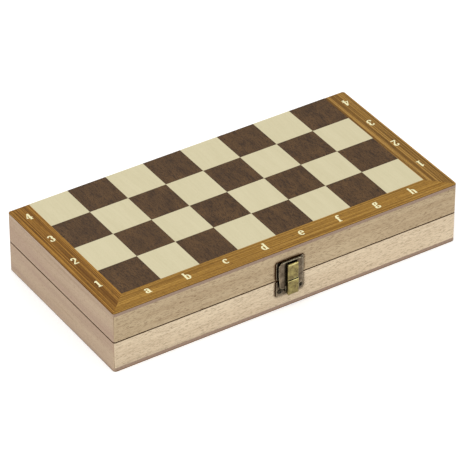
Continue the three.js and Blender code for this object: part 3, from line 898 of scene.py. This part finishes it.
# each lip is a rolled edge in a painted-highlight brass, giving a bright line where the light catches it
lips = {
    # body, the top it hangs from, mm below it, mm behind the lever's front, half width, radius in mm, metal
    "catch_hood_lip": ("catch_strap", strapHigh.z, 2.3, 0.85, channelHalf, 0.72, "brightBrass"),
    "catch_lever_lip": ("catch_lever", leverHigh.z, 0.45, 0.42, channelHalf, 0.38, "brightBrass"),
    "catch_crossbar_lip": ("catch_strap", strapHigh.z, 0.4, 3.1, 0.78 * strapHigh.x, 0.28, "silverBrass"),
}
for name, (body, top, below, behind, halfWidth, radius, brass) in lips.items():
    y = leverLow.y + behind * mm
    z = top - below * mm
    makeLip(name, body, Vector((-halfWidth, y, z)), Vector((halfWidth, y, z)), radius * mm, brass)

nail = {
    # all in mm
    "headRadius": 0.85, "headHeight": 0.35, "shankRadius": 0.45, "length": 5.5,
    "spots": (-9, 9), "back": 4.6, "sunk": 0.15,
}


def makeNails():
    # two in each leaf, driven into the rail from the parting side
    outline = [
        (0, -nail["length"]), (nail["shankRadius"], 1 - nail["length"]),
        (nail["shankRadius"], -nail["headHeight"]),
        (nail["headRadius"], -0.1), (nail["headRadius"] * 0.8, 0), (0, 0.05),
    ]
    for side in ("left", "right"):
        pinLow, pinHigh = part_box(f"{side}_hinge_pin")
        centre = (pinLow + pinHigh) / 2
        for half, body in halves.items():
            for index, spot in enumerate(nail["spots"]):
                name = f"{side}_hinge_{half}_nail_{index + 1}"
                bm = bmesh.new()
                lathe(bm, [(r * mm, z * mm) for r, z in outline], steps=16)
                mesh = finishMesh(bm, name)
                sunk = nail["sunk"] * mm if half == "upper" else -nail["sunk"] * mm
                turn = Matrix.Rotation(math.pi, 4, "X") if half == "upper" else Matrix.Identity(4)
                at = Vector((centre.x + spot * mm, centre.y - nail["back"] * mm, centre.z + sunk))
                place = Matrix.Translation(at) @ turn
                makePiece(name, mesh, brasses["hingeBrass"], body, matrix=place)


makeNails()
print("hinges and catch made")


men = {
    "king": {"height": 63, "foot": 12, "stem": 5, "collar": 8, "collarAt": 0.58},
    "queen": {"height": 57, "foot": 11.5, "stem": 4.8, "collar": 7.6, "collarAt": 0.58},
    "bishop": {"height": 47, "foot": 10.5, "stem": 4, "collar": 6.6, "collarAt": 0.55},
    "knight": {"height": 45, "foot": 10.5, "stem": 7.6, "collar": 8.4, "collarAt": 0.2},
    "rook": {"height": 36, "foot": 10.5, "stem": 5.6, "collar": 7.8, "collarAt": 0.6},
    "pawn": {"height": 31.5, "foot": 9, "stem": 3.6, "collar": 6, "collarAt": 0.56},
}


def bead(r, z0, z1, out, steps=6):
    half = (z1 - z0) / 2
    turns = [math.pi * (i / steps - 0.5) for i in range(steps + 1)]
    return [(r + out * math.cos(t), z0 + half + half * math.sin(t)) for t in turns]


def cove(r0, z0, r1, z1, steps=10):
    turns = [math.pi / 2 * i / steps for i in range(steps + 1)]
    return [(r1 + (r0 - r1) * (1 - math.sin(t)), z0 + (z1 - z0) * (1 - math.cos(t))) for t in turns]


def dome(r0, z0, r1, z1, steps=6):
    turns = [math.pi / 2 * i / steps for i in range(steps + 1)]
    return [(r1 + (r0 - r1) * math.cos(t), z0 + (z1 - z0) * math.sin(t)) for t in turns]


def knob(radius, top, start, steps=10):
    turns = [math.radians(start + (90 - start) * i / steps) for i in range(steps + 1)]
    return [(radius * math.cos(t), top - radius + radius * math.sin(t)) for t in turns]


def turnedFoot(man):
    h, f, stemRadius, c = man["height"], man["foot"], man["stem"], man["collar"]
    zc = man["collarAt"] * h
    points = [(0, 0.4), (0.72 * f, 0.4), (0.76 * f, 0), (f - 0.5, 0), (f, 0.5), (f, 0.06 * h)]
    points += dome(f, 0.06 * h, 0.86 * f, 0.095 * h)
    points += bead(0.8 * f, 0.1 * h, 0.135 * h, 0.05 * f)
    if man["collarAt"] > 0.3:
        points += cove(0.76 * f, 0.145 * h, stemRadius, zc - 0.05 * h, 14)
        points += bead(stemRadius, zc - 0.045 * h, zc - 0.01 * h, 0.8)
    points += [(0.82 * c, zc)] + bead(c - 0.6, zc + 0.005 * h, zc + 0.045 * h, 0.6)
    return points + [(0.8 * c, zc + 0.055 * h)]


def pawnTop(man):
    h, s = man["height"], man["stem"]
    return [(1.05 * s, 0.635 * h), (0.95 * s, 0.66 * h)] + knob(0.18 * h, h, -52)


def bishopTop(man):
    h, s = man["height"], man["stem"]
    swell = [(s * (0.9 + 0.62 * math.sin(math.pi * t) ** 0.8 - 0.6 * t * t), h * (0.64 + 0.29 * t))
             for t in [i / 14 for i in range(15)]]
    return [(1.2 * s, 0.62 * h)] + swell + knob(1.9, h, -30)


def queenTop(man):
    h, s, c = man["height"], man["stem"], man["collar"]
    flare = [(s + (c - s) * t ** 1.8, h * (0.65 + 0.25 * t)) for t in [i / 10 for i in range(11)]]
    crown = [(0.93 * c, 0.905 * h), (0.78 * c, 0.885 * h)] + dome(0.7 * c, 0.89 * h, 0.2 * c, 0.93 * h)
    return [(1.15 * s, 0.63 * h)] + flare + crown + knob(2.3, h, -35)


def kingTop(man):
    h, s, c = man["height"], man["stem"], man["collar"]
    flare = [(s + (c - s) * t ** 1.6, h * (0.65 + 0.19 * t)) for t in [i / 10 for i in range(11)]]
    crown = bead(c - 0.3, 0.842 * h, 0.86 * h, 0.3, 4) + dome(0.86 * c, 0.862 * h, 0, 0.9 * h, 8)
    return [(1.15 * s, 0.63 * h)] + flare + crown


def rookTop(man):
    h, s, c = man["height"], man["stem"], man["collar"]
    neck = [(1.05 * s + (c - 1.05 * s) * t ** 2, h * (0.68 + 0.1 * t)) for t in [i / 6 for i in range(7)]]
    rim = [(c, h - 0.4), (c - 0.4, h), (0.7 * c, h), (0.68 * c, h - 0.3), (0.68 * c, 0.9 * h), (0, 0.88 * h)]
    return [(1.1 * s, 0.68 * h)] + neck + rim


def knightTop(man):
    h, c = man["height"], man["collar"]
    return dome(0.8 * c, 0.255 * h, 0, 0.275 * h, 4)


tops = {
    "pawn": pawnTop, "bishop": bishopTop, "queen": queenTop,
    "king": kingTop, "rook": rookTop, "knight": knightTop,
}


crenels = {"count": 4, "halfWidth": 14, "floor": 0.93}  # degrees, and a share of the rook's height


def crenelAngles():
    # plain steps round the rim, with a pair of close angles at each side of a notch
    count, halfWidth = crenels["count"], crenels["halfWidth"]
    angles = []
    for i in range(count):
        middle = 360 / count * i
        for a in (-halfWidth, -halfWidth + 0.2, 0, halfWidth - 0.2, halfWidth):
            angles.append(middle + a)
        gap = 360 / count - 2 * halfWidth
        angles += [middle + halfWidth + gap * k / 8 for k in range(1, 8)]
    return [math.radians(a) for a in angles]


def crenelShape(height, radius):
    count, halfWidth, low = crenels["count"], crenels["halfWidth"], crenels["floor"] * height

    def shape(r, z, a):
        off = abs((math.degrees(a) + 180 / count) % (360 / count) - 180 / count)
        notch = off < halfWidth - 0.1 and z > low and r > 0.6 * radius
        return r, (low if notch else z)
    return shape


def crownShape(height, low, high, amount, points=9):
    def shape(r, z, a):
        inside = low * height < z < high * height
        return r, z + (amount * math.cos(points * a) if inside else 0)
    return shape


horse = {
    "outline": [
        (-6.4, 11.2), (-7.9, 15.5), (-8.4, 20.5), (-8.0, 26), (-6.6, 31.5), (-4.4, 36.2), (-2.2, 39.6),
        (-1.5, 42.4), (-0.4, 44.8), (1.1, 42.2), (2.2, 39.6), (3.9, 36.9), (5.4, 33.4), (7.4, 29.8),
        (8.9, 27.2), (9.0, 25.2), (7.9, 24), (6.6, 24.2), (5.6, 23.2), (4.0, 23.6), (2.4, 25.2),
        (0.6, 26), (0.4, 24), (2.0, 20.6), (4.6, 17), (6.2, 13.6), (6.4, 11.2),
    ],
    "layers": [(-4.4, 1.5), (-3.4, 0.5), (-1.8, 0.0), (0, -0.1), (1.8, 0.0), (3.4, 0.5), (4.4, 1.5)],
}


def horseHead(bm):
    outline = [Vector(p) for p in horse["outline"]]
    count = len(outline)
    rings = []
    for depth, inset in horse["layers"]:
        ring = []
        for i, point in enumerate(outline):
            way = (outline[(i + 1) % count] - outline[i - 1]).normalized()
            inward = Vector((way.y, -way.x))
            narrow = 0.62 if point.y > 38 else 1
            moved = point + inward * inset
            ring.append(bm.verts.new((moved.x * mm, depth * narrow * mm, moved.y * mm)))
        rings.append(ring)
    for near, far in zip(rings, rings[1:]):
        for i in range(count):
            j = (i + 1) % count
            bm.faces.new((near[i], near[j], far[j], far[i]))
    for ring in (rings[0], rings[-1]):
        face = bm.faces.new(ring)
        bmesh.ops.triangulate(bm, faces=[face])


cross = {
    # in mm; the three heights are shares of the king's
    "arm": 3.2, "half": 1, "waist": 0.8, "flare": 0.2, "ease": 0.25,
    "low": 0.885, "armLow": 0.925, "armHigh": 0.962,
}


def crossOutline(height):
    arm, half, waist, flare = (cross[part] for part in ("arm", "half", "waist", "flare"))
    low, armLow, armHigh = (cross[part] * height for part in ("low", "armLow", "armHigh"))
    return [
        (-half, low), (half, low), (waist, armLow), (arm, armLow - flare), (arm, armHigh + flare),
        (waist, armHigh), (half, height), (-half, height), (-waist, armHigh), (-arm, armHigh + flare),
        (-arm, armLow - flare), (-waist, armLow),
    ]


def manMesh(kind):
    man = men[kind]
    h = man["height"]
    points = [(r * mm, z * mm) for r, z in turnedFoot(man) + tops[kind](man)]
    points[0] = (0, points[0][1])
    points[-1] = (0, points[-1][1])
    bm = bmesh.new()
    if kind == "rook":
        lathe(bm, points, crenelAngles(), crenelShape(h * mm, man["collar"] * mm))
    elif kind == "queen":
        lathe(bm, points, shape=crownShape(h * mm, low=0.895, high=0.91, amount=0.6 * mm), steps=54)
    else:
        lathe(bm, points)
    if kind == "knight":
        horseHead(bm)
    if kind == "king":
        outline = [(x * mm, z * mm) for x, z in crossOutline(h)]
        bottom, top = prism(bm, outline, -cross["half"] * mm, cross["half"] * mm)
        turn = Matrix.Rotation(math.pi / 2, 3, "X")
        for v in bottom + top:
            v.co = turn @ v.co
        rims = {e for v in bottom + top for e in v.link_edges}
        ease = cross["ease"] * mm
        bmesh.ops.bevel(bm, geom=list(rims), offset=ease, segments=2, profile=0.5, affect="EDGES")
    return bm


def manPlace(node):
    # a man's foot is its largest flat face that looks along the tray
    areas, middles = {}, {}
    for polygon in frame["nodes"][node].data.polygons:
        if abs(polygon.normal.y) < 0.7:
            continue
        key = tuple(round(c, 2) for c in polygon.normal)
        areas[key] = areas.get(key, 0) + polygon.area
        middles[key] = middles.get(key, Vector()) + polygon.center * polygon.area
    key = max(areas, key=areas.get)
    up = -Vector(key).normalized()
    across = Vector((1 if up.y > 0 else -1, 0, 0))
    depth = up.cross(across)
    place = Matrix((across, depth, up)).transposed().to_4x4()
    place.translation = middles[key] / areas[key]
    return place


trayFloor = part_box("lower_plywood_panel")[1].z
restGap = 0.03 * mm  # between a man and the tray


def makeMen():
    for node in frame["nodes"]:
        words = node.split("_")
        if words[0] not in ("light", "dark"):
            continue
        kind = words[1]
        mesh = finishMesh(manMesh(kind), f"{node}_turned", 50)
        place = manPlace(node)
        lowest = min((place @ v.co).z for v in mesh.vertices)
        place.translation.z += trayFloor + restGap - lowest
        setGrain(mesh, alongAxis("Z", boardOffset()))
        tone = "lightMan" if words[0] == "light" else "darkMan"
        piece = makePiece(f"{node}_turned", mesh, woods[tone], "lower_half", [node], place)
        if kind == "knight":
            piece.modifiers.new("carved", "SUBSURF").render_levels = 1


makeMen()
print("chessmen made")


studio = {
    "floorTone": srgb(245, 245, 245),
    "floorGlow": 0.3,
    "world": 0.73,
    "lamps": [
        # place in metres, size, watts
        ((-1.6, -1.2, 2.6), 2.4, 28),
        ((1.9, -1.5, 2.0), 2.0, 14.5),
        ((0.2, 2.2, 2.4), 2.4, 11.5),
    ],
    "azimuth": -32.83,
    "elevation": 35.51,
    "distance": 2.516,
    "target": (-0.02475, -0.03687, 0.052),
    "lens": 266.3,
}


def makeStage():
    bm = bmesh.new()
    bmesh.ops.create_grid(bm, x_segments=1, y_segments=1, size=6)
    mesh = bpy.data.meshes.new("floor")
    bm.to_mesh(mesh)
    bm.free()
    floor = bpy.data.objects.new("floor", mesh)
    floor.location.z = -0.2 * mm
    bpy.context.scene.collection.objects.link(floor)
    nodes = Nodes("floor")
    nodes.shader.inputs["Base Color"].default_value = (*studio["floorTone"], 1)
    nodes.shader.inputs["Roughness"].default_value = 0.9
    nodes.shader.inputs["Emission Color"].default_value = (1, 1, 1, 1)
    nodes.shader.inputs["Emission Strength"].default_value = studio["floorGlow"]
    mesh.materials.append(nodes.material)


def makeLight():
    world = bpy.data.worlds.new("studio")
    bpy.context.scene.world = world
    world.use_nodes = True
    background = world.node_tree.nodes["Background"]
    background.inputs["Color"].default_value = (1, 1, 1, 1)
    background.inputs["Strength"].default_value = studio["world"]
    for index, (place, size, watts) in enumerate(studio["lamps"]):
        lamp = bpy.data.lights.new(f"softbox_{index + 1}", "AREA")
        lamp.size = size
        lamp.energy = watts
        holder = bpy.data.objects.new(lamp.name, lamp)
        holder.location = place
        holder.rotation_euler = (-Vector(place)).to_track_quat("-Z", "Y").to_euler()
        bpy.context.scene.collection.objects.link(holder)


def makeCamera():
    camera = bpy.data.cameras.new("camera")
    camera.lens = studio["lens"]
    camera.sensor_width = 36
    holder = bpy.data.objects.new("camera", camera)
    bpy.context.scene.collection.objects.link(holder)
    a, e = math.radians(studio["azimuth"]), math.radians(studio["elevation"])
    back = Vector((math.sin(a) * math.cos(e), -math.cos(a) * math.cos(e), math.sin(e)))
    holder.location = Vector(studio["target"]) + back * studio["distance"]
    holder.rotation_euler = (-back).to_track_quat("-Z", "Y").to_euler()
    camera.clip_start, camera.clip_end = 0.05, 50
    bpy.context.scene.camera = holder


makeStage()
makeLight()
makeCamera()
bpy.context.scene.view_settings.view_transform = "Standard"
print("studio made")
